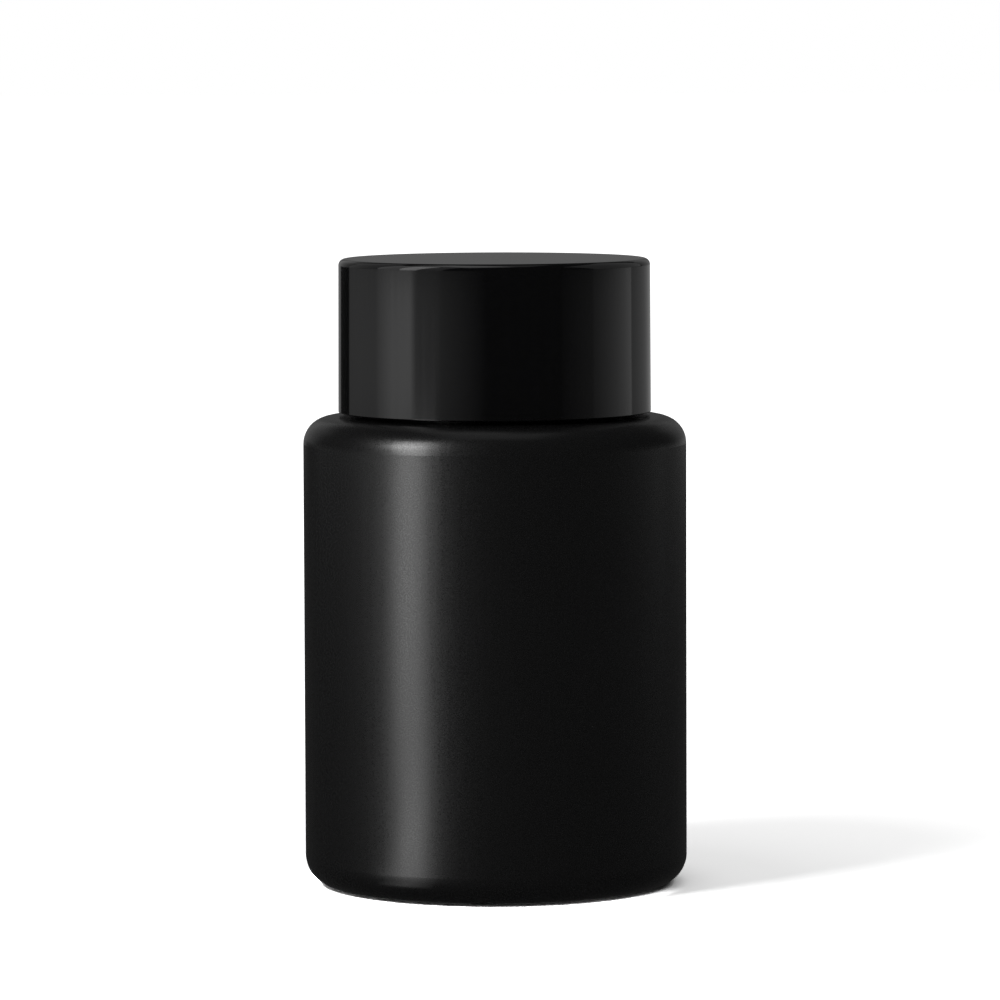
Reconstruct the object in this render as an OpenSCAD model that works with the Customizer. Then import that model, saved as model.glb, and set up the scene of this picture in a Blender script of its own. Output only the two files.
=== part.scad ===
// Nail polish remover jar: a round jar whose foam block has a bore for a fingertip, closed by a screw cap.
// Units are millimetres. The origin is the centre of the base, +Z runs up the axis, and the front faces -Y.

/* [Jar] */
// Outer diameter of the jar
body_d = 50; // [47:0.5:64]
// Height of the shoulder edge above the table
shoulder_h = 61.2; // [48:0.2:90]
// Thickness of the jar's wall
jar_wall = 1.5; // [1.2:0.1:2.2]
// Thickness of the jar's floor
floor_t = 1.6; // [1.2:0.1:2.5]
// Radius of the rounded shoulder edge
shoulder_r = 3.5; // [2.6:0.1:4.5]
// Rise of the shoulder from its edge to the neck
shoulder_rise = 0.3; // [0:0.1:0.5]
// Radius of the rounded heel
heel_r = 3.8; // [2.8:0.1:5]
// Width of the ring that the jar stands on
stand_w = 2.4; // [1.6:0.2:4]
// Height of the hollow under the floor
hollow_h = 1.2; // [0.6:0.1:2]
// Width of the sloping side of that hollow
hollow_slope = 1.6; // [1:0.2:3]
// Width of the registration notch in the stand ring
notch_w = 4.6; // [2:0.2:8]
// Height of the registration notch's arch
notch_h = 0.6; // [0.4:0.1:1]
// Turn of the notch about the axis, away from the front
notch_turn = -3.9; // [-45:0.1:45]

/* [Neck] */
// Diameter of the mouth
neck_bore_d = 28.8; // [24:0.2:29.4]
// Thickness of the neck's wall
neck_wall = 1.5; // [1.2:0.1:1.7]
// Depth of the round edge where the mouth meets the inside of the shoulder
neck_edge_r = 1; // [0.5:0.1:1.4]
// Gap between the stop bead and the cap that passes over it
bead_gap = 0.45; // [0.3:0.05:0.8]
// Height of the stop bead
bead_h = 1.6; // [1:0.1:2]
// Height of the stop bead above the shoulder
bead_up = 1.3; // [1:0.1:1.6]

/* [Thread] */
// Rise of the thread in one turn
thread_lead = 4.23; // [3.6:0.01:4.8]
// Height of a thread ridge, measured away from its wall
ridge_out = 1.1; // [0.8:0.05:1.2]
// Width of a ridge at its foot
ridge_foot_w = 1.9; // [1.4:0.1:2]
// Width of a ridge at its crest
ridge_crest_w = 0.9; // [0.5:0.1:1.2]
// Gap between a crest and the wall that it faces
crest_gap = 0.35; // [0.25:0.05:0.5]
// Gap between the bearing flanks of the two ridges
flank_gap = 0.25; // [0.15:0.05:0.4]
// Plain neck between the rim and the neck's ridge
thread_below_rim = 1.6; // [1:0.1:2.2]
// Plain neck between the stop bead and the neck's ridge
thread_above_bead = 3; // [2:0.1:4]
// Height of the cap's ridge above the stop bead
cap_thread_up = 0.7; // [0.4:0.1:1]
// Turns of the ridge in the cap
cap_turns = 1.25; // [0.75:0.05:1.3]

/* [Cap] */
// Height of the cap
cap_h = 20; // [19:0.2:30]
// Gap between the cap's lower edge and the shoulder edge
cap_gap = 0.6; // [0.5:0.05:1]
// Draft of the cap's side, from its lower edge to its top
cap_draft = 0.1; // [0.05:0.05:0.4]
// Radius of the cap's top edge
cap_edge_r = 0.8; // [0.4:0.1:1.2]
// Size of the bevel on the cap's lower edge
cap_bevel = 0.15; // [0.1:0.05:0.5]
// Thickness of the outer shell's side
shell_wall = 1.3; // [1:0.05:1.4]
// Thickness of the outer shell's top
shell_top = 1.4; // [1:0.1:2]
// Height of the inner cap's lower edge above the shell's lower edge
insert_up = 0.6; // [0.3:0.1:0.8]
// Thickness of the inner cap's side
insert_wall = 1.2; // [0.9:0.05:1.8]
// Thickness of the inner cap's top
insert_top = 1.2; // [0.8:0.1:2]
// Number of ribs that grip the outer shell
rib_count = 24; // [12:2:36]
// Width of a rib
rib_w = 0.8; // [0.5:0.1:1.2]
// Height of a rib, measured away from the inner cap's wall
rib_out = 0.4; // [0.3:0.05:0.5]
// Gap between the ribs and the outer shell
rib_gap = 0.05; // [0.02:0.01:0.1]
// Thickness of the liner disc
seal_t = 1.2; // [0.8:0.1:1.5]
// Gap round the liner disc
seal_gap = 0.3; // [0.2:0.05:0.5]

/* [Neck collar] */
// Thickness of the collar's flange on the rim
flange_t = 0.8; // [0.6:0.1:1.2]
// Distance of the flange's edge inside the neck's outer wall
flange_in = 0.1; // [0:0.05:0.3]
// Length of the collar's sleeve below the rim
sleeve_h = 6; // [4:0.2:8]
// Thickness of the collar's sleeve
sleeve_wall = 1; // [0.8:0.1:1.3]
// Gap between the sleeve and the neck
sleeve_gap = 0.05; // [0.02:0.01:0.1]
// Reach of the lip inside the sleeve
lip_in = 1.8; // [1:0.1:3]
// Thickness of the lip
lip_t = 0.9; // [0.7:0.1:1.2]

/* [Foam] */
// Gap between the foam and the jar
foam_gap = 0.4; // [0.3:0.05:0.6]
// Radius of the foam's outer edges
foam_edge_r = 1.8; // [1:0.1:2]
// Thickness of the foam disc at the bottom
pad_t = 8; // [4:0.5:12]
// Diameter of the bore for the fingertip
finger_bore_d = 12; // [9:0.5:15]
// Number of slits round the bore
slit_count = 4; // [2:1:8]
// Reach of a slit beyond the bore
slit_out = 5; // [2:0.5:6]
// Width of a slit
slit_w = 0.8; // [0.5:0.1:1.5]
// Depth of the free remover over the foam disc
fluid_h = 5; // [2:0.5:12]
// Gap between the free remover and the foam
fluid_gap = 0.15; // [0.1:0.05:0.3]

/* [Hidden] */

// Steps of a thread ridge in one turn, and in each end where it fades into its wall
turn_steps = 48;
fade_steps = 5;
// Depth by which a ridge or a rib is rooted in its wall
root = 0.3;
// Height of a ridge over its root where it ends, inside its wall
ridge_end = root / 2;
// Overrun of a cut past the face that it opens
over = 1;

body_r = body_d / 2;
inner_r = body_r - jar_wall;
stand_r = body_r - heel_r;
hollow_r = stand_r - stand_w;
inner_floor = floor_t + hollow_h;
shoulder_under = shoulder_h - jar_wall;
// Radius of the arch that is notch_w wide and notch_h high
notch_r = (pow(notch_w / 2, 2) + pow(notch_h, 2)) / (2 * notch_h);

bore_r = neck_bore_d / 2;
neck_r = bore_r + neck_wall;
crest_r = neck_r + ridge_out;
insert_r = crest_r + crest_gap;

bead_z = shoulder_h + bead_up;
bead_r = insert_r - bead_gap;

insert_side_r = insert_r + insert_wall;
shell_r = insert_side_r + rib_out + rib_gap;
cap_top_r = shell_r + shell_wall;
cap_low_r = cap_top_r + cap_draft;

cap_z = shoulder_h + cap_gap;
cap_top = cap_z + cap_h;
shell_under = cap_top - shell_top;
insert_under = shell_under - insert_top;
insert_z = cap_z + insert_up;
seal_z = insert_under - seal_t;
rim_z = seal_z - flange_t;

// Distance along the axis between the middles of two facing ridges whose bearing flanks are flank_gap apart
flank_pitch = ridge_foot_w - (ridge_foot_w - ridge_crest_w) * (1 + crest_gap / ridge_out) / 2 + flank_gap;
// Width of a ridge at its root, on the line of its flanks
rooted_w = ridge_foot_w + (ridge_foot_w - ridge_crest_w) * root / ridge_out;
// The neck's ridge starts at turn 0, and the cap's ridge runs under it on the same helix
neck_thread_z = bead_z + bead_h + thread_above_bead + ridge_foot_w / 2;
neck_turns = (rim_z - thread_below_rim - ridge_foot_w / 2 - neck_thread_z) / thread_lead;
cap_thread_z = neck_thread_z - flank_pitch;
cap_start = (bead_z + bead_h + cap_thread_up + ridge_foot_w / 2 - cap_thread_z) / thread_lead;

sleeve_r = bore_r - sleeve_gap;
sleeve_in_r = sleeve_r - sleeve_wall;
collar_z = rim_z - sleeve_h;

foam_r = inner_r - foam_gap;
foam_neck_r = bore_r - foam_gap;
foam_z = inner_floor + pad_t;
foam_shoulder = shoulder_under - foam_gap;
foam_top = collar_z - foam_gap;
finger_r = finger_bore_d / 2;

$fn = 96;

// What a round corner of radius r takes off a square one: r to the right and above the arc's centre
module corner(r) {
    difference() {
        square([r + over, r + over]);
        circle(r);
    }
}

// Half section of a round block from z0 to z1, with its lower and upper outer edges rounded
module block_section(r, z0, z1, low_r, high_r) {
    difference() {
        translate([0, z0]) square([r, z1 - z0]);
        translate([r - low_r, z0 + low_r]) mirror([0, 1]) corner(low_r);
        translate([r - high_r, z1 - high_r]) corner(high_r);
    }
}

// Section of the raised middle of the floor, down to a given depth below the stand plane
module hollow_section(down) {
    polygon([
        [0, hollow_h], [hollow_r - hollow_slope, hollow_h], [hollow_r, 0], [hollow_r, -down], [0, -down]
    ]);
}

// One ring of a ridge: a point in the wall, two on the crest and another in the wall
function ridge_ring(wall_r, top_r, angle, z) = [
    for (p = [
        [wall_r, -rooted_w / 2], [top_r, -ridge_crest_w / 2],
        [top_r, ridge_crest_w / 2], [wall_r, rooted_w / 2]
    ])
        [p[0] * cos(angle), p[0] * sin(angle), z + p[1]]
];

// The faces between ring i and the next, wound for a crest that points inward
function ring_faces(i) = [
    for (k = [0:3], half = [0, 1])
        let (a = 4 * i + k, b = 4 * i + (k + 1) % 4)
            half == 0 ? [a, a + 4, b] : [b, a + 4, b + 4]
];

function turned(faces) = [for (f = faces) [f[2], f[1], f[0]]];

// A right-hand ridge on a wall of radius wall_r, whose middle passes z0 at turn 0.
// It stands out of the wall for side = 1, as on a neck, and into the bore for side = -1, as in a cap.
module thread_ridge(wall_r, side, z0, from_turn, turns) {
    steps = ceil(turns * turn_steps);
    rooted_r = wall_r - side * root;
    rings = [
        for (i = [0:steps])
            let (
                turn = from_turn + turns * i / steps,
                rise = min(1, i / fade_steps, (steps - i) / fade_steps),
                out = ridge_end + rise * (root + ridge_out - ridge_end)
            )
                each ridge_ring(rooted_r, rooted_r + side * out, 360 * turn, z0 + thread_lead * turn)
    ];
    last = 4 * steps;
    faces = concat(
        [for (i = [0:steps - 1]) each ring_faces(i)],
        [[0, 1, 2], [0, 2, 3], [last + 2, last + 1, last], [last + 3, last + 2, last]]
    );
    polyhedron(rings, side > 0 ? turned(faces) : faces);
}

module jar_section() {
    difference() {
        union() {
            block_section(body_r, 0, shoulder_h, heel_r, shoulder_r);
            polygon([
                [0, shoulder_under], [body_r - shoulder_r, shoulder_under], [body_r - shoulder_r, shoulder_h],
                [neck_r, shoulder_h + shoulder_rise], [0, shoulder_h + shoulder_rise]
            ]);
            translate([0, shoulder_under]) square([neck_r, rim_z - shoulder_under]);
            translate([0, bead_z]) square([bead_r, bead_h]);
        }
        hollow_section(over);
        difference() {
            block_section(inner_r, floor_t, shoulder_under, heel_r - jar_wall, shoulder_r - jar_wall);
            translate([0, floor_t]) hollow_section(over);
        }
        difference() {
            translate([0, shoulder_under - over]) square([bore_r + neck_edge_r, over + neck_edge_r]);
            translate([bore_r + neck_edge_r, shoulder_under + neck_edge_r]) circle(neck_edge_r);
        }
        translate([0, shoulder_under - over]) square([bore_r, rim_z - shoulder_under + 2 * over]);
    }
}

module jar_body() {
    color("#1b1b1c") difference() {
        union() {
            rotate_extrude() jar_section();
            thread_ridge(neck_r, 1, neck_thread_z, 0, neck_turns);
        }
        rotate([0, 0, notch_turn])
            translate([0, hollow_slope - hollow_r, notch_h - notch_r])
                rotate([90, 0, 0]) cylinder(r = notch_r, h = body_r + over + hollow_slope - hollow_r);
    }
}

module neck_collar() {
    color("#dcdcd6") rotate_extrude() difference() {
        union() {
            translate([0, collar_z]) square([sleeve_r, sleeve_h]);
            translate([0, rim_z]) square([neck_r - flange_in, flange_t]);
        }
        translate([0, collar_z + lip_t]) square([sleeve_in_r, sleeve_h + flange_t]);
        translate([0, collar_z - over]) square([sleeve_in_r - lip_in, sleeve_h]);
    }
}

module slits() {
    for (i = [0:slit_count - 1])
        rotate([0, 0, 360 * (i + 0.5) / slit_count])
            translate([0, -slit_w / 2, foam_z - over])
                cube([finger_r + slit_out, slit_w, foam_top - foam_z + 2 * over]);
}

module sponge() {
    color("#3f4247") difference() {
        rotate_extrude() difference() {
            union() {
                difference() {
                    translate([0, foam_z]) square([foam_r, foam_shoulder - foam_z]);
                    translate([foam_r - foam_edge_r, foam_shoulder - foam_edge_r]) corner(foam_edge_r);
                }
                difference() {
                    translate([0, foam_z]) square([foam_neck_r, foam_top - foam_z]);
                    translate([foam_neck_r - foam_edge_r, foam_top - foam_edge_r]) corner(foam_edge_r);
                }
            }
            translate([0, foam_z - over]) square([finger_r, foam_top - foam_z + 2 * over]);
        }
        slits();
    }
}

module sponge_pad() {
    color("#34373b") rotate_extrude() difference() {
        translate([0, inner_floor]) square([foam_r, pad_t]);
        translate([foam_r - foam_edge_r, inner_floor + foam_edge_r]) mirror([0, 1]) corner(foam_edge_r);
    }
}

module remover_fluid() {
    color("#c9b6e0") translate([0, 0, foam_z]) cylinder(r = finger_r - fluid_gap, h = fluid_h);
}

module cap_seal() {
    color("#f2f1ec") translate([0, 0, seal_z]) cylinder(r = insert_r - seal_gap, h = seal_t);
}

module cap_insert() {
    color("#2a2a2b") union() {
        rotate_extrude() difference() {
            translate([0, insert_z]) square([insert_side_r, shell_under - insert_z]);
            translate([0, insert_z - over]) square([insert_r, insert_under - insert_z + over]);
        }
        for (i = [0:rib_count - 1])
            rotate([0, 0, 360 * i / rib_count])
                translate([insert_side_r - root, -rib_w / 2, insert_z])
                    cube([root + rib_out, rib_w, shell_under - insert_z]);
        thread_ridge(insert_r, -1, cap_thread_z, cap_start, cap_turns);
    }
}

module cap_shell() {
    color("#0b0b0c") rotate_extrude() difference() {
        polygon([
            [0, cap_z], [cap_low_r - cap_bevel, cap_z], [cap_low_r, cap_z + cap_bevel],
            [cap_top_r, cap_top - cap_edge_r], [cap_top_r, cap_top], [0, cap_top]
        ]);
        translate([cap_top_r - cap_edge_r, cap_top - cap_edge_r]) corner(cap_edge_r);
        translate([0, cap_z - over]) square([shell_r, shell_under - cap_z + over]);
    }
}

jar_body();
neck_collar();
sponge();
sponge_pad();
remover_fluid();
cap_seal();
cap_insert();
cap_shell();
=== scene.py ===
"""Studio view of a nail polish remover jar: finishes, foam and liquid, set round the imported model."""

import math

import bmesh
import bpy
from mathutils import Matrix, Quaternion, Vector, noise


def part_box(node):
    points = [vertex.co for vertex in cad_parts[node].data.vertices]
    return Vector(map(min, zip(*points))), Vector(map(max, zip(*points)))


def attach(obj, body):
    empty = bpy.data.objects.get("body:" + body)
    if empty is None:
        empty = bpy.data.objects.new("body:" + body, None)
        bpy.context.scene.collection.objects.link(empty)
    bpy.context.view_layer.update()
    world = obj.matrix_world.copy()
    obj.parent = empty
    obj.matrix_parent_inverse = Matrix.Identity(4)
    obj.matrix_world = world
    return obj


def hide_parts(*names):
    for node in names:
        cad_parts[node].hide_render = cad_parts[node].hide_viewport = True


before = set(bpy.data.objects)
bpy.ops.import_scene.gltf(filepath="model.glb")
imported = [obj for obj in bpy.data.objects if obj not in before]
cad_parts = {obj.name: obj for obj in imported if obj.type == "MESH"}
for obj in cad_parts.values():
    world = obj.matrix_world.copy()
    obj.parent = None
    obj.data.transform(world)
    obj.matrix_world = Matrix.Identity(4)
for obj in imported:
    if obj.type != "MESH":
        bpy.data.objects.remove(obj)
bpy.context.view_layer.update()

bl_info = {
    "name": "Remover Jar Studio",
    "version": (1, 0, 0),
    "blender": (4, 5, 0),
    "location": "View3D > Sidebar > Remover Jar",
    "description": "Finishes a sponge jar, builds its soft pieces and sets up its studio",
    "category": "Object",
}

MM = 0.001
CYCLE = 2 * math.pi
# Points of a piece that are nearer than this are one point
SAME_PLACE = 1e-6
# Stretches a pattern along the jar's axis
ALONG = (1, 1, 0.03)

# Outer cap: its wall, the draft of its side, and the fillets of its section
CAP_WALL = 1.4 * MM
CAP_DRAFT = 0.1 * MM
CAP_INNER_FILLET = 0.1 * MM
CAP_MOUTH_FILLET = 0.05 * MM
CAP_FOOT_FILLET = 0.15 * MM
CAP_EDGE_FILLET = 0.85 * MM
CAP_FILLET_STEPS = 12
CAP_SIDES = 384

# Liner: width and depth of the ring that the rim presses into it, and its fillets
RIM_WIDTH = 2 * MM
RIM_SLOPE = 0.2 * MM
RIM_PRESS = 0.12 * MM
LINER_FILLET = 0.2 * MM
RIM_FILLET = 0.1 * MM
LINER_SIDES = 160

# Foam block: the places and sizes that its box doesn't give
FOAM_SHOULDER = 59.3 * MM
FOAM_CROWN = 14.0 * MM
FOAM_BORE = 6.0 * MM
FOAM_LIP = 1.0 * MM
FOAM_EDGE = 1.8 * MM
FOAM_INNER_EDGE = 0.8 * MM
FOAM_FOOT_EDGE = 0.6 * MM
SLITS = 4
SLIT_REACH = 11 * MM
SLIT_HALF = 0.3 * MM
# Turn of the columns at a slit's mouth, away from the slit's own bearing, and the share of it from one point
# of the slit's tip to the next
SLIT_FAN = math.radians(14)
TIP_SHARE = 0.04
# Steps of the block's mesh round an arc of the bore, along a slit's wall, round its tip, up the bore, over
# the lip, across the top and round an outer edge, and the distance between its rows further out
ARC_STEPS = 26
SLIT_STEPS = 12
TIP_STEPS = 6
BORE_STEPS = 90
LIP_STEPS = 5
TOP_STEPS = 16
FOAM_FILLET_STEPS = 5
BLOCK_SPACING = 0.8 * MM
# Foam disc: sides, and the distance between its rows
DISC_SIDES = 200
DISC_SPACING = 0.5 * MM
# Pits of the foam: their reach as a share of the distance between pores, and how sharply they sink
PIT_REACH = 0.55
PIT_SHARPNESS = 0.7
DENT_SIZE = 6 * MM
# Depth of the pits and of the slow dents, on the block and on the disc
BLOCK_DEPTHS = (0.22 * MM, 0.15 * MM)
DISC_DEPTHS = (0.2 * MM, 0.1 * MM)

# Free remover: how high and how far its edge climbs the foam, and the round of its foot
CLIMB_RISE = 0.5 * MM
CLIMB_REACH = 0.9 * MM
REMOVER_FOOT = 0.2 * MM
REMOVER_STEPS = 24
REMOVER_SIDES = 128
# Colours between which the collar and the remover drift
COLLAR_COLOURS = ((0.66, 0.66, 0.63), (0.76, 0.76, 0.73))
REMOVER_COLOURS = ((0.84, 0.8, 0.92), (0.9, 0.88, 0.95))

# Width of the camera's sensor in millimetres
SENSOR = 36
# Studio, in metres: where the lamps point, how far they and the upright cards stand, the tent and the floor
BOX_TARGET = (0, 0, 0.045)
BOX_DISTANCE = 1.1
CARD_RADIUS = 0.8
TENT_RADIUS = 2.2
TENT_GLOW = 0.035
TENT_SIDES = 48
TENT_ROWS = 24
# The tent's half sphere is cut off at this height
TENT_FOOT = -0.01
FLOOR_RADIUS = 8
FLOOR_SIDES = 96
FLOOR_GREY = (0.8, 0.8, 0.8)
# The floor stays this far below the jar, so that the two faces don't share a plane
FLOOR_DROP = 0.02 * MM
# Light that comes from all round, where white is 1
AMBIENT = 0.57
# Soft boxes: name, azimuth, elevation, width, height, the setting for their radiance and their share of it,
# the kind of surface that they don't light, their roll, and whether they light the cap alone or all but it
SOFT_BOXES = (
    ("key_box", -54, 23, 0.37, 1.0, "key_radiance", 1, "diffuse", 13, "EXCLUDE"),
    ("core_box", -57, 27, 0.45, 0.25, "key_radiance", 0.5, "diffuse", 13, "EXCLUDE"),
    ("shade_box", -47, 47, 0.16, 0.44, "shade_radiance", 1, "glossy", 0, None),
    ("far_left_crest", -121, 28, 1.05, 1.1, "edge_radiance", 0.09, "diffuse", 0, "INCLUDE"),
    ("left_crest", -85, 28, 0.43, 1.1, "edge_radiance", 0.28, "diffuse", 0, "INCLUDE"),
    ("bright_crest", -66, 28, 0.31, 1.1, "edge_radiance", 0.9, "diffuse", 0, "INCLUDE"),
    ("front_crest", -48, 28, 0.39, 1.1, "edge_radiance", 0.13, "diffuse", 0, "INCLUDE"),
    ("right_crest", 108, 28, 1.37, 1.1, "edge_radiance", 0.09, "diffuse", 0, "INCLUDE"),
    ("top_crest", -60, 74, 0.9, 0.6, "edge_radiance", 0.36, "diffuse", 0, "INCLUDE"),
    ("top_box", 0, 88, 0.68, 0.68, "top_radiance", 1, None, 0, None),
)
# Heights between which the upright cards stand
LOW_CARD = (0.008, 0.058)
HIGH_CARD = (0.058, 0.45)
# Upright cards that reflections show: name, first and last bearing, heights, and the glow at each end
WALL_CARDS = (
    ("left_far_card", -134, -97, LOW_CARD, 0.16, 0.45),
    ("left_rise", -97, -80, LOW_CARD, 0.45, 1.15),
    ("left_card", -80, -64, LOW_CARD, 1.15, 1.32),
    ("left_edge", -64, -59, LOW_CARD, 1.32, 0.46),
    ("left_spill", -59, -40, LOW_CARD, 0.46, 0.38),
    ("left_fade", -40, -5, LOW_CARD, 0.32, 0.03),
    ("right_fade", 50, 77, LOW_CARD, 0.05, 0.14),
    ("right_card", 77, 120, LOW_CARD, 0.18, 0.56),
    ("right_far_card", 120, 145, LOW_CARD, 0.25, 0.24),
    ("back_low_right", 145, 180, LOW_CARD, 0.24, 0.4),
    ("back_low_left", 180, 204, LOW_CARD, 0.3, 0.2),
    ("back_dark", 204, 226, LOW_CARD, 0.02, 0.01),
    ("back_right_high", 140, 168, HIGH_CARD, 0.14, 0.22),
    ("back_high", 168, 192, HIGH_CARD, 0.12, 0.135),
    ("back_left_high", 192, 226, HIGH_CARD, 0.3, 0.12),
)
# Cards on the floor: name, first and last bearing, nearest and furthest place, height, and the glow at
# each end
FLOOR_CARDS = (
    ("dark_mat", -180, 180, 0.0222, TENT_RADIUS, 0.0004, TENT_GLOW, TENT_GLOW),
    ("foot_glow_left", -42, -31, 0.0262, 0.034, 0.0008, 0.1, 0.9),
    ("foot_glow_right", -31, -21, 0.0262, 0.034, 0.0008, 0.9, 0.1),
    ("heel_glow_left", -52, -38, 0.034, 0.055, 0.0008, 0.4, 2.9),
    ("heel_glow_right", -38, -26, 0.034, 0.055, 0.0008, 2.9, 0.4),
    ("near_glow", -50, -36, 0.055, 0.12, 0.0008, 3.6, 3.6),
    ("mid_glow", -59, -39, 0.12, 0.28, 0.0008, 1.9, 1.9),
    ("far_glow", -61, -44, 0.28, 0.79, 0.0008, 5.2, 5.2),
)
# Distances from the jar's axis between which the floor's brightness changes: where the jar touches it, by the
# jar's foot, near the jar, in the dip round it and far away
CONTACT_EDGE = (0.0225, 0.0237)
FOOT_EDGE = (0.024, 0.0262)
NEAR_EDGE = (0.03, 0.08)
DIP_EDGE = (0.028, 0.04)
FAR_EDGE = (0.07, 0.4)
# Brightness of the floor to the camera, and what each of those places adds to it or takes away
FLOOR_GAIN = 1.79
# Painted shade: share of the floor's colour taken away in the ring where the jar touches it
CONTACT_SHADE = 0.9
# Painted light on the lit side of the floor, by the jar's foot and near the jar
PAINTED_FOOT_LIGHT = 12
PAINTED_NEAR_LIGHT = 0.4
FAR_GAIN = 0.6
# Painted shade: the floor's colour is lowered from the dip round the jar outwards
PAINTED_DIP_SHADE = 0.16
# Where the light on the floor comes from, as shares to the right and to the back, and the values between
# which its side of the floor begins
LIT_RIGHT = -0.68
LIT_BACK = -0.73
LIT_EDGE = (-0.5, 0.2)


class JarSettings(bpy.types.PropertyGroup):
    """Finish of the jar's body."""

    colour: bpy.props.FloatVectorProperty(
        name="Colour", description="Colour of the jar's plastic", subtype="COLOR", size=3, min=0, max=1,
        default=(0.005, 0.005, 0.0052))
    roughness: bpy.props.FloatProperty(
        name="Roughness", description="Roughness of the satin surface", subtype="FACTOR", min=0, max=1,
        default=0.29)
    grain: bpy.props.FloatProperty(
        name="Grain", description="Size of the fine moulded grain", unit="LENGTH", precision=5,
        default=0.16 * MM)


class CapSettings(bpy.types.PropertyGroup):
    """Finish of the screw cap's two pieces."""

    shell_colour: bpy.props.FloatVectorProperty(
        name="Shell colour", description="Colour of the gloss outer cap", subtype="COLOR", size=3,
        min=0, max=1, default=(0.0016, 0.0016, 0.0018))
    shell_roughness: bpy.props.FloatProperty(
        name="Shell roughness", description="Roughness of the gloss outer cap", subtype="FACTOR",
        min=0, max=1, default=0.08)
    insert_colour: bpy.props.FloatVectorProperty(
        name="Insert colour", description="Colour of the threaded inner cap", subtype="COLOR", size=3,
        min=0, max=1, default=(0.012, 0.012, 0.0125))
    insert_roughness: bpy.props.FloatProperty(
        name="Insert roughness", description="Roughness of the threaded inner cap", subtype="FACTOR",
        min=0, max=1, default=0.38)


class FoamSettings(bpy.types.PropertyGroup):
    """Shape and finish of the foam block, the foam disc and the liner."""

    colour: bpy.props.FloatVectorProperty(
        name="Colour", description="Colour of the foam block", subtype="COLOR", size=3, min=0, max=1,
        default=(0.052, 0.055, 0.062))
    pad_colour: bpy.props.FloatVectorProperty(
        name="Disc colour", description="Colour of the foam disc at the bottom", subtype="COLOR", size=3,
        min=0, max=1, default=(0.036, 0.038, 0.043))
    liner_colour: bpy.props.FloatVectorProperty(
        name="Liner colour", description="Colour of the liner's foam", subtype="COLOR", size=3,
        min=0, max=1, default=(0.86, 0.86, 0.83))
    pore: bpy.props.FloatProperty(
        name="Pore", description="Distance between the foam's pores", unit="LENGTH", precision=5,
        default=0.9 * MM)


class StudioSettings(bpy.types.PropertyGroup):
    """Camera and lamps."""

    camera_distance: bpy.props.FloatProperty(
        name="Camera distance", description="Distance of the camera in front of the jar's axis",
        unit="LENGTH", default=0.7813)
    camera_height: bpy.props.FloatProperty(
        name="Camera height", description="Height of the camera above the floor", unit="LENGTH",
        default=0.1131)
    camera_side: bpy.props.FloatProperty(
        name="Camera side", description="Distance of the camera to the right of the jar's axis",
        unit="LENGTH", precision=5, default=0.87 * MM)
    camera_pitch: bpy.props.FloatProperty(
        name="Camera pitch", description="Angle by which the camera looks down", unit="ROTATION",
        default=math.radians(4.603))
    camera_roll: bpy.props.FloatProperty(
        name="Camera roll", description="Angle by which the camera leans to the right", unit="ROTATION",
        default=math.radians(0.2))
    lens: bpy.props.FloatProperty(
        name="Lens", description="Focal length on a 36 mm sensor, in millimetres", default=216)
    key_radiance: bpy.props.FloatProperty(
        name="Key", description="Radiance of the tall soft box at the left", default=8.9)
    edge_radiance: bpy.props.FloatProperty(
        name="Edge", description="Radiance of the soft boxes that light the gloss cap's edge", default=2.5)
    shade_radiance: bpy.props.FloatProperty(
        name="Shade", description="Radiance of the narrow high box that casts the jar's shadow", default=16)
    top_radiance: bpy.props.FloatProperty(
        name="Top", description="Radiance of the soft box overhead", default=0.25)


class Signal:
    """A shader socket on which Python arithmetic adds the nodes for it."""

    def __init__(self, graph, socket):
        self.graph = graph
        self.socket = socket

    def math(self, operation, *others):
        """The result of a Math node, or of a Vector Math node if a vector goes in."""
        inputs = (self,) + others
        vector = any(isinstance(x, Signal) and x.socket.type == "VECTOR" for x in inputs)
        kind = "ShaderNodeVectorMath" if vector else "ShaderNodeMath"
        return self.graph.node(kind, {"operation": operation}, dict(enumerate(inputs)))

    def reflected(self, operation, other):
        """The same for a number on the left of the sign."""
        return self.graph.node("ShaderNodeMath", {"operation": operation}, {0: other, 1: self})

    def __add__(self, other):
        return self.math("ADD", other)

    __radd__ = __add__

    def __sub__(self, other):
        return self.math("SUBTRACT", other)

    def __rsub__(self, other):
        return self.reflected("SUBTRACT", other)

    def __mul__(self, other):
        return self.math("MULTIPLY", other)

    __rmul__ = __mul__

    def __truediv__(self, other):
        return self.math("DIVIDE", other)

    def __rtruediv__(self, other):
        return self.reflected("DIVIDE", other)

    def __pow__(self, other):
        return self.math("POWER", other)

    def step(self, low, high):
        """0 below low, 1 above high, and a smooth rise between them."""
        return self.graph.node(
            "ShaderNodeMapRange", {"interpolation_type": "SMOOTHSTEP"},
            {"Value": self, "From Min": low, "From Max": high})


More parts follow.
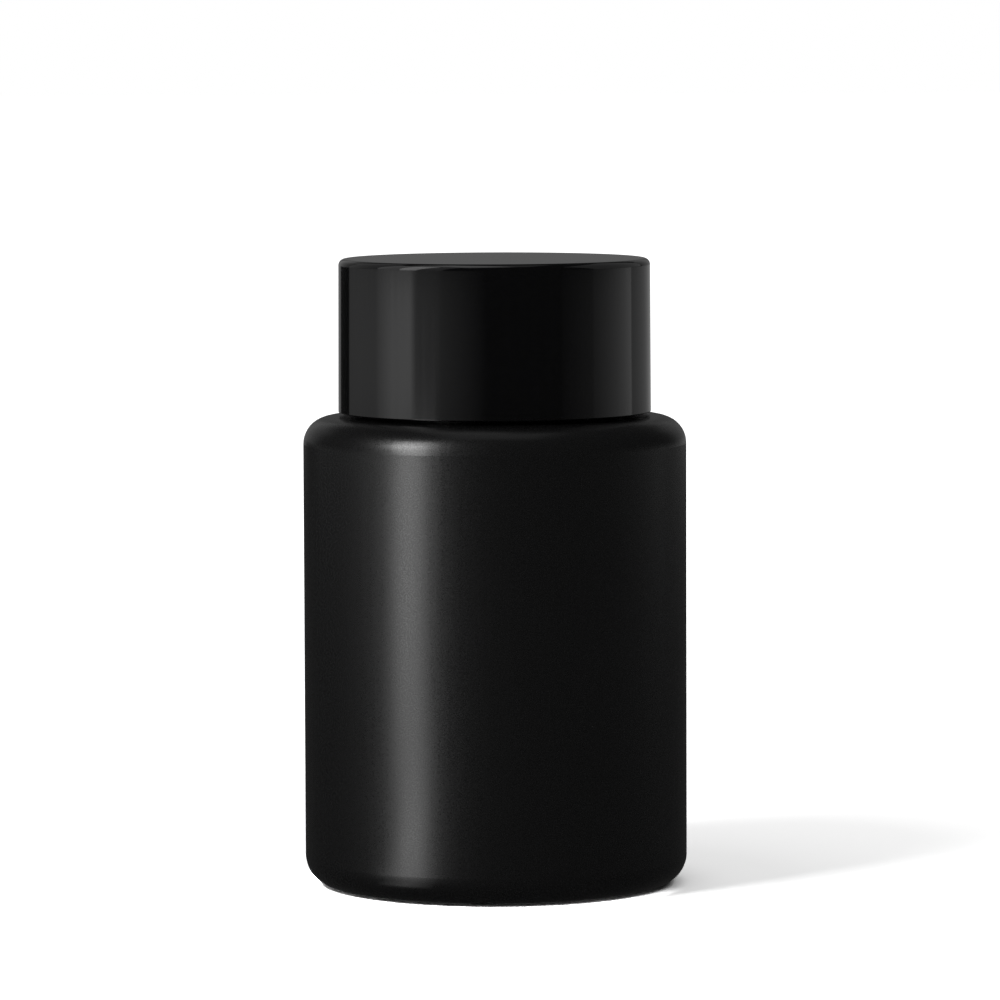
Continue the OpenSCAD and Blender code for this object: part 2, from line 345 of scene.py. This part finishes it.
class Graph:
    """A node tree that is written with one method."""

    def __init__(self, tree):
        self.tree = tree
        tree.nodes.clear()

    def node(self, kind, settings=None, sockets=None, output=0):
        """Adds a node, makes its settings, then gives its sockets values or links. Returns an output."""
        made = self.tree.nodes.new(kind)
        for name, value in (settings or {}).items():
            setattr(made, name, value)
        for key, value in (sockets or {}).items():
            if isinstance(value, Signal):
                self.tree.links.new(value.socket, made.inputs[key])
            else:
                made.inputs[key].default_value = value
        return Signal(self, made.outputs[output]) if made.outputs else None

    def blend(self, mask, low, high):
        """The colour low where mask is 0 and high where it is 1."""
        colours = [x if isinstance(x, Signal) else rgba(x) for x in (low, high)]
        return self.node(
            "ShaderNodeMix", {"data_type": "RGBA"}, {0: mask, 6: colours[0], 7: colours[1]}, output=2)

    def place(self):
        """The place on the piece, in metres, which moves with it."""
        return self.node("ShaderNodeTexCoord", output="Object")

    def parts(self, vector):
        """The x, y and z of a vector."""
        split = self.node("ShaderNodeSeparateXYZ", None, {0: vector}).socket.node
        return [Signal(self, output) for output in split.outputs]

    def clouds(self, size, detail=2.0, where=None):
        """Noise from 0 to 1, whose lumps are about as wide as size."""
        return self.node(
            "ShaderNodeTexNoise", None,
            {"Vector": where or self.place(), "Scale": 1 / size, "Detail": detail})

    def cells(self, size):
        """Distance to the middle of the nearest cell, in a pattern of cells about as wide as size."""
        return self.node(
            "ShaderNodeTexVoronoi", {"feature": "F1"}, {"Vector": self.place(), "Scale": 1 / size},
            output="Distance")

    def bump(self, height, depth):
        """Normal of a surface whose height goes from 0 to depth."""
        return self.node("ShaderNodeBump", None, {"Height": height, "Distance": depth, "Strength": 1.0})

    def grey(self, level):
        """The grey whose three channels are level, which can be over 1."""
        return self.node("ShaderNodeCombineColor", None, {0: level, 1: level, 2: level})


def rgba(colour):
    """A colour with its alpha."""
    return (*colour[:3], 1.0)


def material(name, paint, **constants):
    """A material whose Principled shader takes the constants, and what paint(graph) gives for its sockets."""
    made = bpy.data.materials.new(name)
    made.use_nodes = True
    graph = Graph(made.node_tree)
    sockets = {key.replace("_", " "): value for key, value in constants.items()}
    sockets.update(paint(graph))
    shader = graph.node("ShaderNodeBsdfPrincipled", None, sockets)
    graph.node("ShaderNodeOutputMaterial", None, {"Surface": shader})
    return made


def satin_jar(settings):
    """Black plastic with a fine moulded grain, which sparkles a little in the highlight."""
    def paint(graph):
        grain = graph.clouds(settings.grain, 0.0)
        streak = graph.clouds(0.7 * MM, 1.0, graph.place() * ALONG)
        drift = graph.clouds(9 * MM)
        speck = graph.clouds(0.6 * settings.grain, 0.0)
        return {
            "Base Color": graph.blend(
                speck, [c * 0.5 for c in settings.colour], [c * 1.5 for c in settings.colour]),
            "Roughness": (
                settings.roughness + (drift - 0.5) * 0.02 + (grain - 0.5) * 0.15 + (streak - 0.5) * 0.04),
            "Normal": graph.bump(speck, 0.001 * MM),
        }
    return material("satin_jar", paint, Specular_IOR_Level=0.5)


def gloss_shell(settings):
    """Polished black plastic, with the slight waves that moulding leaves."""
    def paint(graph):
        wave = graph.clouds(14 * MM, 1.0)
        speck = graph.clouds(0.17 * MM, 0.0)
        streak = graph.clouds(0.6 * MM, 1.0, graph.place() * ALONG)
        return {
            "Base Color": graph.blend(
                speck * 0.7 + streak * 0.3, [c * 0.2 for c in settings.shell_colour],
                [c * 2 for c in settings.shell_colour]),
            "Roughness": settings.shell_roughness + (streak - 0.5) * 0.06,
            "Normal": graph.bump(wave, 0.02 * MM),
        }
    return material("gloss_shell", paint)


def insert_plastic(settings):
    """Black plastic of the threaded inner cap, duller than the shell."""
    def paint(graph):
        drift = graph.clouds(3 * MM, 3.0)
        return {
            "Base Color": graph.blend(
                drift, [c * 0.8 for c in settings.insert_colour], settings.insert_colour),
            "Roughness": settings.insert_roughness + (drift - 0.5) * 0.1,
            "Normal": graph.bump(graph.clouds(0.3 * MM), 0.004 * MM),
        }
    return material("insert_plastic", paint)


def natural_plastic():
    """Uncoloured plastic of the collar, which lets a little light in."""
    def paint(graph):
        drift = graph.clouds(4 * MM, 3.0)
        return {
            "Base Color": graph.blend(drift, *COLLAR_COLOURS),
            "Roughness": 0.34 + (drift - 0.5) * 0.1,
            "Normal": graph.bump(graph.clouds(0.4 * MM), 0.005 * MM),
        }
    return material("natural_plastic", paint, Subsurface_Weight=0.12, Subsurface_Scale=0.001)


def open_foam(name, colour, pore):
    """Soaked open-cell foam: paler strands, with pores darkened by painted shade between them."""
    def paint(graph):
        cell = graph.cells(pore * 0.5)
        strand = cell.step(0.25, 0.6)
        drift = graph.clouds(5 * MM, 3.0)
        # Painted shade darkens the pores, and drift varies the tone at random
        shade = strand * (0.6 + 0.4 * drift)
        return {
            "Base Color": graph.blend(shade, [c * 0.25 for c in colour], [c * 1.5 for c in colour]),
            "Roughness": 0.9 - strand * 0.25,
            "Normal": graph.bump(strand, 0.12 * MM),
        }
    return material(name, paint, Sheen_Weight=0.15, Sheen_Roughness=0.5)


def liner_foam(settings):
    """Closed-cell liner foam, white and faintly pebbled."""
    def paint(graph):
        cell = graph.cells(0.45 * MM)
        drift = graph.clouds(6 * MM)
        return {
            "Base Color": graph.blend(
                drift, [c * 0.94 for c in settings.liner_colour], settings.liner_colour),
            "Roughness": 0.55 + cell * 0.2,
            "Normal": graph.bump(cell, 0.02 * MM),
        }
    return material("liner_foam", paint)


def clear_remover():
    """Thin clear liquid with a pale tint."""
    def paint(graph):
        return {"Base Color": graph.blend(graph.clouds(8 * MM), *REMOVER_COLOURS)}
    return material("clear_remover", paint, Roughness=0.02, IOR=1.36, Transmission_Weight=1.0)


def finish_node(node, made):
    """Gives a piece of the frame its material."""
    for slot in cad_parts[node].material_slots:
        slot.material = made


def rounded(corners, steps=6):
    """Points of a closed outline whose (r, z, fillet) corners are rounded by arcs."""
    points = []
    for i, (r, z, fillet) in enumerate(corners):
        here = Vector((r, z))
        back = (Vector(corners[i - 1][:2]) - here).normalized()
        ahead = (Vector(corners[(i + 1) % len(corners)][:2]) - here).normalized()
        if not fillet:
            points.append(here)
            continue
        half = back.angle(ahead) / 2
        centre = here + (back + ahead).normalized() * fillet / math.sin(half)
        reach = fillet / math.tan(half)
        start = here + back * reach - centre
        end = here + ahead * reach - centre
        turn = math.atan2(start.cross(end), start.dot(end))
        for k in range(steps + 1):
            angle = math.atan2(start.y, start.x) + turn * k / steps
            points.append(centre + Vector((math.cos(angle), math.sin(angle))) * fillet)
    return points


def make_object(name, mesh_builder):
    """A smooth object whose mesh is made by mesh_builder(bm)."""
    bm = bmesh.new()
    mesh_builder(bm)
    bmesh.ops.remove_doubles(bm, verts=bm.verts, dist=SAME_PLACE)
    bmesh.ops.recalc_face_normals(bm, faces=bm.faces)
    for face in bm.faces:
        face.smooth = True
    mesh = bpy.data.meshes.new(name)
    bm.to_mesh(mesh)
    bm.free()
    made = bpy.data.objects.new(name, mesh)
    bpy.context.scene.collection.objects.link(made)
    return made


def close_rings(bm, rings):
    """Joins rings of points with quads, and the last ring with the first one."""
    verts = [[bm.verts.new(p) for p in ring] for ring in rings]
    count = len(rings[0])
    for i in range(len(rings)):
        low, high = verts[i], verts[(i + 1) % len(rings)]
        for k in range(count):
            n = (k + 1) % count
            bm.faces.new((low[k], low[n], high[n], high[k]))


def lathe(name, outline, count):
    """A closed solid turned about the Z axis from a closed outline of (r, z) points."""
    def build(bm):
        turns = [CYCLE * k / count for k in range(count)]
        rings = [[(p[0] * math.cos(a), p[0] * math.sin(a), p[1]) for a in turns] for p in outline]
        close_rings(bm, rings)
    made = make_object(name, build)
    made.modifiers.new("even_shading", "WEIGHTED_NORMAL").weight = 100
    return made


def settle(piece, body, slot, made, *nodes):
    """Lets a new piece ride on a body, stand for its nodes and take a material. Its slot is not used."""
    piece.data.materials.append(made)
    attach(piece, body)
    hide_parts(*nodes)


def spaced(points, spacing):
    """Points along the line through the given ones, about spacing apart, without its last point."""
    filled = []
    for a, b in zip(points, points[1:]):
        count = max(1, round((b - a).length / spacing))
        filled.extend(a.lerp(b, k / count) for k in range(count))
    return filled


def pit(place, pore):
    """How deep the foam's surface dips at a place, from 0 between pores to 1 in the middle of one."""
    distance = noise.voronoi(Vector(place) / pore)[0][0]
    return max(0.0, 1 - distance / PIT_REACH) ** PIT_SHARPNESS


def foam_surface(piece, pore, depth, sway):
    """Pushes a foam piece's points inwards, into pores and slow dents."""
    mesh = piece.data
    inward = [-v.normal for v in mesh.vertices]
    for vertex, push in zip(mesh.vertices, inward):
        dent = 0.5 + 0.5 * noise.noise(vertex.co / DENT_SIZE)
        vertex.co += push * (depth * pit(vertex.co, pore) + sway * dent)


def slit_outline(start):
    """One slit along the X axis, from its mouth at start and back: x, y and the turn of each column."""
    tip = SLIT_REACH - SLIT_HALF
    outline = []
    for k in range(SLIT_STEPS):
        s = k / SLIT_STEPS
        outline.append((start + (tip - start) * s, -SLIT_HALF, -SLIT_FAN * (1 - s)))
    for k in range(TIP_STEPS + 1):
        a = -math.pi / 2 + math.pi * k / TIP_STEPS
        turn = SLIT_FAN * TIP_SHARE * (k - TIP_STEPS // 2)
        outline.append((tip + SLIT_HALF * math.cos(a), SLIT_HALF * math.sin(a), turn))
    for k in range(SLIT_STEPS):
        s = 1 - (k + 1) / SLIT_STEPS
        outline.append((start + (tip - start) * s, SLIT_HALF, SLIT_FAN * (1 - s)))
    return outline


def bore_columns():
    """Points of the bore's edge with its slits, in turn round the axis, each with its column's direction."""
    columns = []
    edge = math.asin(SLIT_HALF / FOAM_BORE)
    for i in range(SLITS):
        middle = CYCLE * (i + 0.5) / SLITS
        c, s = math.cos(middle), math.sin(middle)
        for x, y, direction in slit_outline(FOAM_BORE * math.cos(edge)):
            columns.append((x * c - y * s, x * s + y * c, middle + direction))
        span = CYCLE / SLITS - 2 * edge
        fan_span = CYCLE / SLITS - 2 * SLIT_FAN
        for k in range(1, ARC_STEPS):
            a = middle + edge + span * k / ARC_STEPS
            direction = middle + SLIT_FAN + fan_span * k / ARC_STEPS
            columns.append((FOAM_BORE * math.cos(a), FOAM_BORE * math.sin(a), direction))
    return columns


def bore_rings(columns, low, high):
    """Rings of the block's inside: up the bore and its slits, over the lip and across the top."""
    lip_z = high - FOAM_LIP
    edges = [Vector((x, y)) for x, y, _ in columns]
    outs = [Vector((math.cos(d), math.sin(d))) for _, _, d in columns]
    rings = []
    for k in range(BORE_STEPS + 1):
        z = low + (lip_z - low) * k / BORE_STEPS
        rings.append([(p.x, p.y, z) for p in edges])
    for k in range(1, LIP_STEPS + 1):
        a = math.pi / 2 * k / LIP_STEPS
        back = FOAM_LIP * (1 - math.cos(a))
        moved = [p + out * back for p, out in zip(edges, outs)]
        rings.append([(p.x, p.y, lip_z + FOAM_LIP * math.sin(a)) for p in moved])
    for k in range(1, TOP_STEPS):
        share = k / TOP_STEPS
        moved = [
            (p + out * FOAM_LIP).lerp(out * (FOAM_CROWN - FOAM_EDGE), share) for p, out in zip(edges, outs)]
        rings.append([(p.x, p.y, high) for p in moved])
    return rings


def side_rings(columns, outer, low, high):
    """Rings of the block's outside: down the crown, over the shoulder, down the wall and round its foot."""
    # The points on the axis only give the edges next to them their direction, and are left out
    side = rounded([
        (0, high, 0), (FOAM_CROWN, high, FOAM_EDGE), (FOAM_CROWN, FOAM_SHOULDER, FOAM_INNER_EDGE),
        (outer, FOAM_SHOULDER, FOAM_EDGE), (outer, low, FOAM_FOOT_EDGE), (0, low, 0),
    ], FOAM_FILLET_STEPS)[1:-1]
    return [
        [(p.x * math.cos(d), p.x * math.sin(d), p.y) for _, _, d in columns]
        for p in spaced(side, BLOCK_SPACING) + side[-1:]
    ]


def build_block(settings):
    """The foam block with its finger bore and slits."""
    low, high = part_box("sponge")
    columns = bore_columns()
    rings = bore_rings(columns, low.z, high.z) + side_rings(columns, high.x, low.z, high.z)
    block = make_object("foam_block", lambda bm: close_rings(bm, rings))
    foam_surface(block, settings.pore, *BLOCK_DEPTHS)
    settle(block, "jar", "foam", open_foam("block_foam", settings.colour, settings.pore), "sponge")


def build_disc(settings):
    """The foam disc under the block."""
    low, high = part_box("sponge_pad")
    outline = rounded([
        (0, low.z, 0), (high.x, low.z, FOAM_EDGE), (high.x, high.z, FOAM_FOOT_EDGE), (0, high.z, 0),
    ])
    disc = lathe("foam_disc", spaced(outline + outline[:1], DISC_SPACING), DISC_SIDES)
    foam_surface(disc, settings.pore, *DISC_DEPTHS)
    finish = open_foam("disc_foam", settings.pad_colour, settings.pore)
    settle(disc, "jar", "pad_foam", finish, "sponge_pad")


class JAR_OT_body(bpy.types.Operator):
    """Finish the jar's body"""

    bl_idname = "jar.finish_body"
    bl_label = "Finish the body"

    def execute(self, context):
        finish_node("jar_body", satin_jar(context.scene.jar_body_settings))
        return {"FINISHED"}


class JAR_OT_cap(bpy.types.Operator):
    """Build the gloss outer cap and finish the threaded inner cap"""

    bl_idname = "jar.build_cap"
    bl_label = "Build the cap"

    def execute(self, context):
        settings = context.scene.jar_cap_settings
        low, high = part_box("cap_shell")
        inside = high.x - CAP_WALL
        under = high.z - CAP_WALL
        outline = rounded([
            (0, under, 0), (inside, under, CAP_INNER_FILLET), (inside, low.z, CAP_MOUTH_FILLET),
            (high.x, low.z, CAP_FOOT_FILLET), (high.x - CAP_DRAFT, high.z, CAP_EDGE_FILLET), (0, high.z, 0),
        ], CAP_FILLET_STEPS)
        shell = lathe("gloss_cap", outline, CAP_SIDES)
        settle(shell, "cap", "cap_gloss", gloss_shell(settings), "cap_shell")
        finish_node("cap_insert", insert_plastic(settings))
        return {"FINISHED"}


class JAR_OT_collar(bpy.types.Operator):
    """Finish the collar in the neck"""

    bl_idname = "jar.finish_collar"
    bl_label = "Finish the collar"

    def execute(self, context):
        finish_node("neck_collar", natural_plastic())
        return {"FINISHED"}


class JAR_OT_liner(bpy.types.Operator):
    """Build the liner disc, with the ring that the rim has pressed into it"""

    bl_idname = "jar.build_liner"
    bl_label = "Build the liner"

    def execute(self, context):
        low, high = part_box("cap_seal")
        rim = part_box("neck_collar")[1].x
        pressed = low.z + RIM_PRESS
        outline = rounded([
            (0, low.z, 0), (rim - RIM_WIDTH - RIM_SLOPE, low.z, RIM_FILLET),
            (rim - RIM_WIDTH, pressed, RIM_FILLET), (rim, pressed, RIM_FILLET),
            (rim + RIM_SLOPE, low.z, RIM_FILLET), (high.x, low.z, LINER_FILLET),
            (high.x, high.z, LINER_FILLET), (0, high.z, 0),
        ])
        liner = lathe("liner_disc", outline, LINER_SIDES)
        settle(liner, "liner", "liner_foam", liner_foam(context.scene.jar_foam_settings), "cap_seal")
        return {"FINISHED"}


class JAR_OT_foam(bpy.types.Operator):
    """Build the foam block with its finger bore and slits, and the foam disc under it"""

    bl_idname = "jar.build_foam"
    bl_label = "Build the foam"

    def execute(self, context):
        settings = context.scene.jar_foam_settings
        build_block(settings)
        build_disc(settings)
        return {"FINISHED"}


class JAR_OT_remover(bpy.types.Operator):
    """Pour the free remover into the bore, with the edge that climbs the foam"""

    bl_idname = "jar.pour_remover"
    bl_label = "Pour the remover"

    def execute(self, context):
        low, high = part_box("remover_fluid")
        wall = high.x
        still = high.z - CLIMB_RISE
        level = [
            (r, still + CLIMB_RISE * math.exp((r - wall) / CLIMB_REACH))
            for r in (wall * (1 - (k / REMOVER_STEPS) ** 2) for k in range(REMOVER_STEPS + 1))
        ]
        foot = [(0, low.z), (wall - REMOVER_FOOT, low.z), (wall, low.z + REMOVER_FOOT)]
        fluid = lathe("free_remover", foot + level, REMOVER_SIDES)
        settle(fluid, "jar", "remover", clear_remover(), "remover_fluid")
        return {"FINISHED"}


def aim(thing, azimuth, elevation, distance, roll, target):
    """Puts a lamp on its bearing, 0 towards the front and 90 to the right, and turns it to the target."""
    flat = math.cos(elevation)
    out = Vector((math.sin(azimuth) * flat, -math.cos(azimuth) * flat, math.sin(elevation)))
    thing.location = target + out * distance
    facing = (-out).to_track_quat("-Z", "Y") @ Quaternion((0, 0, 1), roll)
    thing.rotation_euler = facing.to_euler()


def soft_box(name, azimuth, elevation, width, height, radiance, unseen, roll):
    """A rectangular lamp whose face has the given radiance, and doesn't light surfaces of the kind unseen."""
    data = bpy.data.lights.new(name, "AREA")
    data.shape = "RECTANGLE"
    data.size = width
    data.size_y = height
    data.energy = radiance * math.pi * width * height
    lamp = bpy.data.objects.new(name, data)
    bpy.context.scene.collection.objects.link(lamp)
    lamp.visible_camera = False
    if unseen:
        setattr(lamp, "visible_" + unseen, False)
    azimuth, elevation, roll = (math.radians(angle) for angle in (azimuth, elevation, roll))
    aim(lamp, azimuth, elevation, BOX_DISTANCE, roll, Vector(BOX_TARGET))
    return lamp


def reflection_only(piece):
    """Lets only reflections show a card."""
    for kind in ("camera", "diffuse", "transmission", "volume_scatter", "shadow"):
        setattr(piece, "visible_" + kind, False)


def card_paint(first, last, half_angle):
    """Glow of a card, from its first bearing to its last, which are half_angle to each side of its middle."""
    made = bpy.data.materials.new("card")
    made.use_nodes = True
    graph = Graph(made.node_tree)
    side, back, _ = graph.parts(graph.place())
    bearing = side.math("ARCTAN2", back * -1)
    share = bearing / (2 * half_angle) + 0.5
    level = graph.grey(first + share * (last - first))
    glow = graph.node("ShaderNodeEmission", None, {"Color": level, "Strength": 1.0})
    graph.node("ShaderNodeOutputMaterial", None, {"Surface": glow})
    return made


def sweep_card(name, start, end, low, high, first, last):
    """A card between two bearings in degrees, whose section runs from low to high, both (r, z)."""
    middle, half = math.radians((start + end) / 2), math.radians((end - start) / 2)
    def build(bm):
        # A step is about two degrees
        steps = max(2, round(math.degrees(half)))
        rows = []
        for k in range(steps + 1):
            a = -half + 2 * half * k / steps
            rows.append([bm.verts.new((r * math.sin(a), -r * math.cos(a), z)) for r, z in (low, high)])
        for left, right in zip(rows, rows[1:]):
            bm.faces.new((left[0], left[1], right[1], right[0]))
    card = make_object(name, build)
    card.rotation_euler = (0, 0, middle)
    card.data.materials.append(card_paint(first, last, half))
    reflection_only(card)


def light_only(lamp, piece, state):
    """Links a lamp to one piece: INCLUDE lights it alone, and EXCLUDE lights all but it."""
    group = bpy.data.collections.new(lamp.name + "_piece")
    group.objects.link(piece)
    group.collection_objects[0].light_linking.link_state = state
    lamp.light_linking.receiver_collection = group


class JAR_OT_studio(bpy.types.Operator):
    """Set up the camera, the floor, the lamps and the cards"""

    bl_idname = "jar.set_studio"
    bl_label = "Set up the studio"

    def execute(self, context):
        settings = context.scene.jar_studio_settings
        self.make_camera(context.scene, settings)
        self.make_floor()
        self.make_world(context.scene)
        shell = bpy.data.objects["gloss_cap"]
        for name, azimuth, elevation, width, height, setting, share, unseen, roll, state in SOFT_BOXES:
            radiance = getattr(settings, setting) * share
            lamp = soft_box(name, azimuth, elevation, width, height, radiance, unseen, roll)
            if state:
                light_only(lamp, shell, state)
        for name, start, end, (bottom, top), first, last in WALL_CARDS:
            sweep_card(name, start, end, (CARD_RADIUS, bottom), (CARD_RADIUS, top), first, last)
        for name, start, end, near, far, height, first, last in FLOOR_CARDS:
            sweep_card(name, start, end, (near, height), (far, height), first, last)
        self.make_tent()
        return {"FINISHED"}

    def make_camera(self, scene, settings):
        """The camera stands where the photograph was taken from."""
        data = bpy.data.cameras.new("camera")
        data.sensor_width = SENSOR
        data.lens = settings.lens
        camera = bpy.data.objects.new("camera", data)
        scene.collection.objects.link(camera)
        camera.location = (settings.camera_side, -settings.camera_distance, settings.camera_height)
        camera.rotation_euler = (math.pi / 2 - settings.camera_pitch, settings.camera_roll, 0)
        scene.camera = camera
        scene.view_settings.view_transform = "Standard"

    def make_floor(self):
        """A pale floor, white to the camera but for the jar's shadow, painted shade and painted light near
        the jar.
        """
        def build(bm):
            bmesh.ops.create_circle(bm, cap_ends=True, segments=FLOOR_SIDES, radius=FLOOR_RADIUS)
        floor = make_object("floor", build)
        floor.location.z = -FLOOR_DROP
        made = bpy.data.materials.new("pale_floor")
        made.use_nodes = True
        graph = Graph(made.node_tree)
        seen = background_rays(graph)
        side, back, _ = graph.parts(graph.place())
        reach = (side * side + back * back) ** 0.5
        lit = ((side * LIT_RIGHT + back * LIT_BACK) / reach).step(*LIT_EDGE)
        # Painted shade: a dark ring in the floor's colour where the jar touches it
        painted_contact_shade = 1 - CONTACT_SHADE + CONTACT_SHADE * reach.step(*CONTACT_EDGE)
        # Painted light: the floor's colour is raised on its lit side, by the jar's foot and near the jar
        foot = PAINTED_FOOT_LIGHT * lit * (1 - reach.step(*FOOT_EDGE))
        near = PAINTED_NEAR_LIGHT * lit * (1 - reach.step(*NEAR_EDGE))
        # The far floor is raised to white, and painted shade lowers the colour from the dip round the jar
        # outwards
        far = FAR_GAIN * reach.step(*FAR_EDGE) - PAINTED_DIP_SHADE * reach.step(*DIP_EDGE)
        white = graph.grey(painted_contact_shade * (FLOOR_GAIN + foot + near + far))
        matt = graph.node("ShaderNodeBsdfDiffuse", None, {"Color": graph.blend(seen, FLOOR_GREY, white)})
        clear = graph.node("ShaderNodeBsdfTransparent")
        below = graph.node("ShaderNodeNewGeometry", output="Backfacing")
        either = graph.node("ShaderNodeMixShader", None, {0: below, 1: matt, 2: clear})
        graph.node("ShaderNodeOutputMaterial", None, {"Surface": either})
        floor.data.materials.append(made)

    def make_world(self, scene):
        """White behind everything, and a plain dim light from all round."""
        world = bpy.data.worlds.new("studio")
        scene.world = world
        world.use_nodes = True
        graph = Graph(world.node_tree)
        seen = background_rays(graph)
        level = AMBIENT + seen * (1 - AMBIENT)
        sky = graph.node("ShaderNodeBackground", None, {"Color": (1, 1, 1, 1), "Strength": level})
        graph.node("ShaderNodeOutputWorld", None, {"Surface": sky})

    def make_tent(self):
        """A dark tent round the studio, which only reflections show."""
        def build(bm):
            bmesh.ops.create_uvsphere(bm, u_segments=TENT_SIDES, v_segments=TENT_ROWS, radius=TENT_RADIUS)
            low = [v for v in bm.verts if v.co.z < TENT_FOOT]
            bmesh.ops.delete(bm, geom=low, context="VERTS")
        tent = make_object("tent", build)
        tent.data.materials.append(card_paint(TENT_GLOW, TENT_GLOW, math.pi))
        reflection_only(tent)


def background_rays(graph):
    """1 for the rays that show the background: from the camera, in gloss and through clear liquid."""
    def ray(kind):
        return graph.node("ShaderNodeLightPath", output=kind)
    return (ray("Is Camera Ray") + ray("Is Glossy Ray") + ray("Is Transmission Ray")).math("MINIMUM", 1.0)


class JAR_PT_panel(bpy.types.Panel):
    """Sidebar panel that lists the jar's settings and steps"""

    bl_idname = "JAR_PT_panel"
    bl_label = "Remover jar"
    bl_space_type = "VIEW_3D"
    bl_region_type = "UI"
    bl_category = "Remover Jar"

    def draw(self, context):
        for name in SETTINGS:
            group = getattr(context.scene, name)
            box = self.layout.box()
            for key in group.__annotations__:
                box.prop(group, key)
        for step in STEPS:
            self.layout.operator(step.bl_idname)


SETTINGS = {
    "jar_body_settings": JarSettings,
    "jar_cap_settings": CapSettings,
    "jar_foam_settings": FoamSettings,
    "jar_studio_settings": StudioSettings,
}
STEPS = (JAR_OT_body, JAR_OT_cap, JAR_OT_collar, JAR_OT_liner, JAR_OT_foam, JAR_OT_remover, JAR_OT_studio)


def register():
    """Adds the settings, the steps and the panel to Blender."""
    for group in SETTINGS.values():
        bpy.utils.register_class(group)
    for name, group in SETTINGS.items():
        setattr(bpy.types.Scene, name, bpy.props.PointerProperty(type=group))
    for made in STEPS + (JAR_PT_panel,):
        bpy.utils.register_class(made)


def unregister():
    """Takes the settings, the steps and the panel out of Blender again."""
    for made in reversed(STEPS + (JAR_PT_panel,)):
        bpy.utils.unregister_class(made)
    for name in SETTINGS:
        delattr(bpy.types.Scene, name)
    for group in reversed(SETTINGS.values()):
        bpy.utils.unregister_class(group)


def main():
    """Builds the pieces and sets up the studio."""
    register()
    bpy.ops.jar.finish_body()
    bpy.ops.jar.build_cap()
    bpy.ops.jar.finish_collar()
    bpy.ops.jar.build_liner()
    bpy.ops.jar.build_foam()
    bpy.ops.jar.pour_remover()
    bpy.ops.jar.set_studio()


if __name__ == "__main__":
    main()
